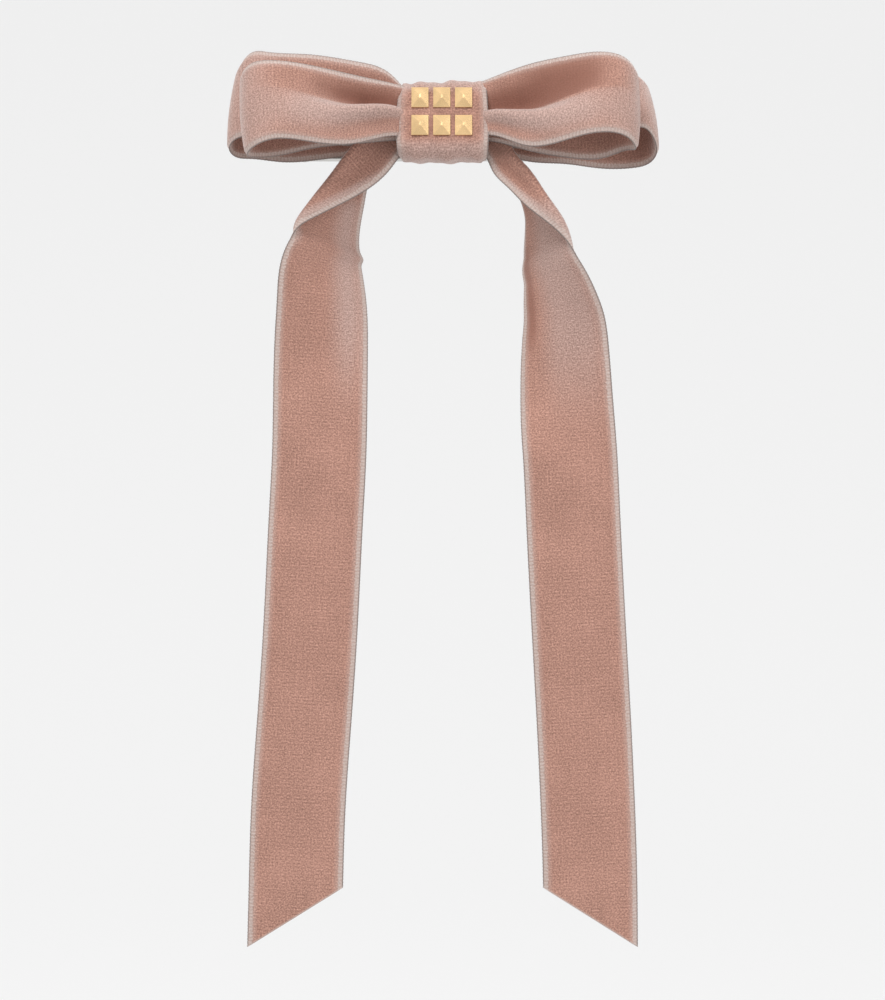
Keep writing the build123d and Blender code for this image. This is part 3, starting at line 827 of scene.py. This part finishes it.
class VELVETBOW_OT_tails(bpy.types.Operator):
    """Make the two tails, which leave the knot, turn over once and hang to their slanted cuts"""

    bl_idname = "velvet_bow.tails"
    bl_label = "Tails"

    def execute(self, context):
        across, half = ribbon_section(0.5)
        pitch = shape_settings().row_pitch / MM
        pile = velvet_material("tail velvet", ribbon_settings().pile_colour, 0.22, 14.0)
        for name, lead, turn, side in (("left_tail", LEFT_LEAD, LEFT_TURN, -1),
                                       ("right_tail", RIGHT_LEAD, RIGHT_TURN, 1)):
            made = tail_surface(lead, turn, side, across, pitch)
            surface, along, sealed, crush_and_painted_light = [part[:, ::side * -1] for part in made]
            piece = ribbon_skin(name + "_velvet", surface, across, half, along, False, crush_and_painted_light, sealed)
            coat(piece, pile)
            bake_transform(piece)
            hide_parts(name, "tail_ribbon_middle")
        return {"FINISHED"}


class VELVETBOW_OT_knot(bpy.types.Operator):
    """Make the knot's velvet wrap and give its thread and stitches their finish"""

    bl_idname = "velvet_bow.knot"
    bl_label = "Knot"

    def execute(self, context):
        across, half = ribbon_section(0.6)
        surface, along, crush_and_painted_light = knot_surface(across, 0.3, shape_settings().knot_ripple / MM)
        piece = ribbon_skin("knot_ribbon_velvet", surface, across, half, along, True, crush_and_painted_light)
        coat(piece, velvet_material("knot velvet", ribbon_settings().pile_colour, 0.55, 5.0, 0.95))
        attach(piece, "bow")
        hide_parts("knot_ribbon")
        thread = thread_material("sewing thread", metal_settings().thread_colour)
        for node in ("knot_seam_stitches", "gather_thread"):
            recoat(node, thread)
        return {"FINISHED"}


class VELVETBOW_OT_studs(bpy.types.Operator):
    """Give the six studs on the knot their polished gilt"""

    bl_idname = "velvet_bow.studs"
    bl_label = "Studs"

    def execute(self, context):
        gilt = gold_material("polished gilt", metal_settings().gold_colour, 0.24)
        for row in ("upper", "lower"):
            for column in ("left", "middle", "right"):
                recoat(f"stud_{row}_{column}", gilt)
        return {"FINISHED"}


class VELVETBOW_OT_clip(bpy.types.Operator):
    """Give the sprung clip its plated steel and the pad its felt"""

    bl_idname = "velvet_bow.clip"
    bl_label = "Clip"

    def execute(self, context):
        steel = steel_material("plated spring steel", metal_settings().steel_colour)
        for node in ("base_plate", "hinge_pin", "catch_strip", "catch_rivet", "catch_prong_upper",
                     "catch_prong_lower", "locking_arm", "tension_bar"):
            recoat(node, steel)
        pad = felt_skin("felt_pad_felt", 16, 8, 0.96, -9.4)
        coat(pad, felt_material("pressed felt", metal_settings().felt_colour))
        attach(pad, "bow")
        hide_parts("felt_pad")
        return {"FINISHED"}


def sweep_floor(colour):
    """A floor that curves up into a wall: the section is a flat run, a quarter of a circle and a flat run,
    carried along x."""
    radius, floor_z, wall_y, half_width, top = 0.8, -0.42, 2.2, 4.0, 3.4
    angle = np.linspace(0, np.pi / 2, 48)
    curve = np.stack([wall_y - radius + radius * np.sin(angle), floor_z + radius * (1 - np.cos(angle))], 1)
    line = np.concatenate([[(-4.0, floor_z)], curve, [(wall_y, top)]])
    wide = np.linspace(-half_width, half_width, 9)
    grid = np.stack(np.broadcast_arrays(wide[None, :], line[:, :1], line[:, 1:]), 2)
    rows, cols = grid.shape[:2]
    r, c = np.meshgrid(np.arange(rows - 1), np.arange(cols - 1), indexing="ij")
    first = (r * cols + c).ravel()
    faces = np.stack([first, first + 1, first + cols + 1, first + cols], 1)
    mesh = bpy.data.meshes.new("studio_floor")
    mesh.from_pydata(grid.reshape(-1, 3).tolist(), [], faces.tolist())
    floor = piece_of("studio_floor", mesh)
    coat(floor, floor_material("pale floor", colour))


def area_light(name, place, aim, size, power, colour=(1, 1, 1)):
    """A round soft light at a place, facing another."""
    light = bpy.data.lights.new(name, "AREA")
    light.shape = "DISK"
    light.size = size
    light.energy = power
    light.color = colour
    lamp = bpy.data.objects.new(name, light)
    lamp.location = place
    lamp.rotation_euler = (Vector(aim) - Vector(place)).to_track_quat("-Z", "Y").to_euler()
    bpy.context.scene.collection.objects.link(lamp)


def surround_world(name, strength):
    """Even pale surround to look at, which lights the piece more from above and the front left than
    from below and the right, as large softboxes do."""
    world = bpy.data.worlds.new(name)
    board = Board(name, world)
    way = board.wire("ShaderNodeTexCoord", None, None, 0)
    split = board.add("ShaderNodeSeparateXYZ", None, {0: way})
    x, y, z = (Wire(board, split.outputs[i]) for i in range(3))
    glow = (board.rise(z, -0.3, 0.85) * 1.15 + board.rise(0 - y, -0.2, 1.0) * 0.35
            - board.rise(x, 0.2, 0.9) * 0.15 - board.rise(0 - x, 0.55, 0.95) * 0.2 + 0.42)
    seen = board.wire("ShaderNodeLightPath", None, None, 0)
    level = glow * strength * (1 - seen) + seen * 0.88
    light = board.wire("ShaderNodeBackground", None, {"Color": (1, 1, 1, 1), "Strength": level})
    board.add("ShaderNodeOutputWorld", None, {0: light})
    return world


class VELVETBOW_OT_stage(bpy.types.Operator):
    """Set the pale floor, the soft lights and the camera"""

    bl_idname = "velvet_bow.stage"
    bl_label = "Stage"

    def execute(self, context):
        stage = context.scene.velvet_bow_stage
        sweep_floor(stage.floor_colour)
        context.scene.world = surround_world("soft surround", stage.surround)
        middle = (0, -0.02, -0.07)
        area_light("key_light", (-0.35, -0.7, 0.85), middle, 0.6, stage.key_power)
        area_light("fill_light", (0.8, -0.6, 0.1), middle, 0.7, stage.key_power * 0.3)
        lens = bpy.data.cameras.new("camera")
        lens.sensor_width = 36
        lens.lens = stage.lens
        lens.clip_start = 0.05
        lens.clip_end = 20
        camera = bpy.data.objects.new("camera", lens)
        camera.location = (0, -0.0228 - stage.camera_distance, -0.0978)
        camera.rotation_euler = (math.pi / 2, 0, 0)
        context.scene.collection.objects.link(camera)
        context.scene.camera = camera
        context.scene.view_settings.view_transform = "Standard"
        return {"FINISHED"}


class VELVETBOW_PT_panel(bpy.types.Panel):
    """Lists the pieces and their settings"""

    bl_idname = "VELVETBOW_PT_panel"
    bl_label = "Velvet Bow"
    bl_space_type = "VIEW_3D"
    bl_region_type = "UI"
    bl_category = "Velvet Bow"

    def draw(self, context):
        for group in (context.scene.velvet_bow_ribbon, context.scene.velvet_bow_shape,
                      context.scene.velvet_bow_metal, context.scene.velvet_bow_stage):
            box = self.layout.box()
            for key in type(group).__annotations__:
                box.prop(group, key)
        for operator in OPERATORS:
            self.layout.operator(operator.bl_idname)


OPERATORS = (VELVETBOW_OT_stage, VELVETBOW_OT_loops, VELVETBOW_OT_tails, VELVETBOW_OT_knot,
             VELVETBOW_OT_studs, VELVETBOW_OT_clip)
SETTINGS = {"velvet_bow_ribbon": VelvetBowRibbonSettings, "velvet_bow_shape": VelvetBowShapeSettings,
            "velvet_bow_metal": VelvetBowMetalSettings, "velvet_bow_stage": VelvetBowStageSettings}


def register():
    for group in SETTINGS.values():
        bpy.utils.register_class(group)
    for key, group in SETTINGS.items():
        setattr(bpy.types.Scene, key, bpy.props.PointerProperty(type=group))
    for entry in (*OPERATORS, VELVETBOW_PT_panel):
        bpy.utils.register_class(entry)


def unregister():
    for entry in (VELVETBOW_PT_panel, *OPERATORS):
        bpy.utils.unregister_class(entry)
    for key, group in SETTINGS.items():
        delattr(bpy.types.Scene, key)
        bpy.utils.unregister_class(group)


def main():
    register()
    for operator in OPERATORS:
        getattr(bpy.ops.velvet_bow, operator.bl_idname.split(".")[1])()


if __name__ == "__main__":
    main()
